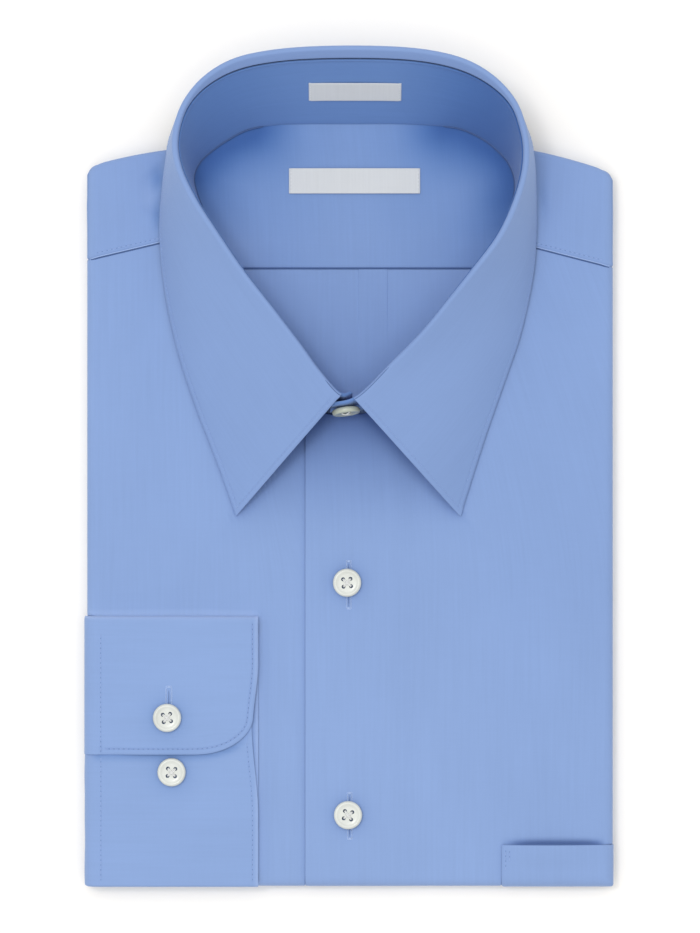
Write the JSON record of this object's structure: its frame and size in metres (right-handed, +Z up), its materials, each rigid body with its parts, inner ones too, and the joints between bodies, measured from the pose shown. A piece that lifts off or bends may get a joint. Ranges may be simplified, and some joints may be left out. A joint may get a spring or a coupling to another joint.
{
  "type": "folded long sleeve dress shirt",
  "caption": "Long sleeve dress shirt folded flat for packing: standing point collar, buttoned front, a barrel cuff brought round onto the front, and a patch pocket at the lower corner",
  "frame": {"origin": "The middle of the folded shirt's footprint, on the surface it lies on.", "axes": "+Z is up from that surface, through the thickness of the pack. +Y runs up the front of the shirt to the collar. +X is to the right as the reader looks down on the front."},
  "size_m": [0.2156, 0.3405, 0.0472],
  "materials": {
    "shirt_cloth": "fine plain weave cotton poplin, pressed, with a soft sheen",
    "label_cloth": "smooth woven satin tape",
    "button_resin": "polished off-white resin"
  },
  "bodies": {
    "root": {"folded_layers": "shirt_cloth", "back": "shirt_cloth", "yoke": "shirt_cloth", "front_right": "shirt_cloth", "front_left": "shirt_cloth", "pocket": "shirt_cloth", "sleeve": "shirt_cloth", "cuff": "shirt_cloth", "collar_band": "shirt_cloth", "collar_leaf": "shirt_cloth", "collar_label": "label_cloth", "neck_label": "label_cloth", "front_button_1": "button_resin", "front_button_2": "button_resin", "cuff_button_1": "button_resin", "cuff_button_2": "button_resin", "collar_button": "button_resin"}
  },
  "joints": []
}
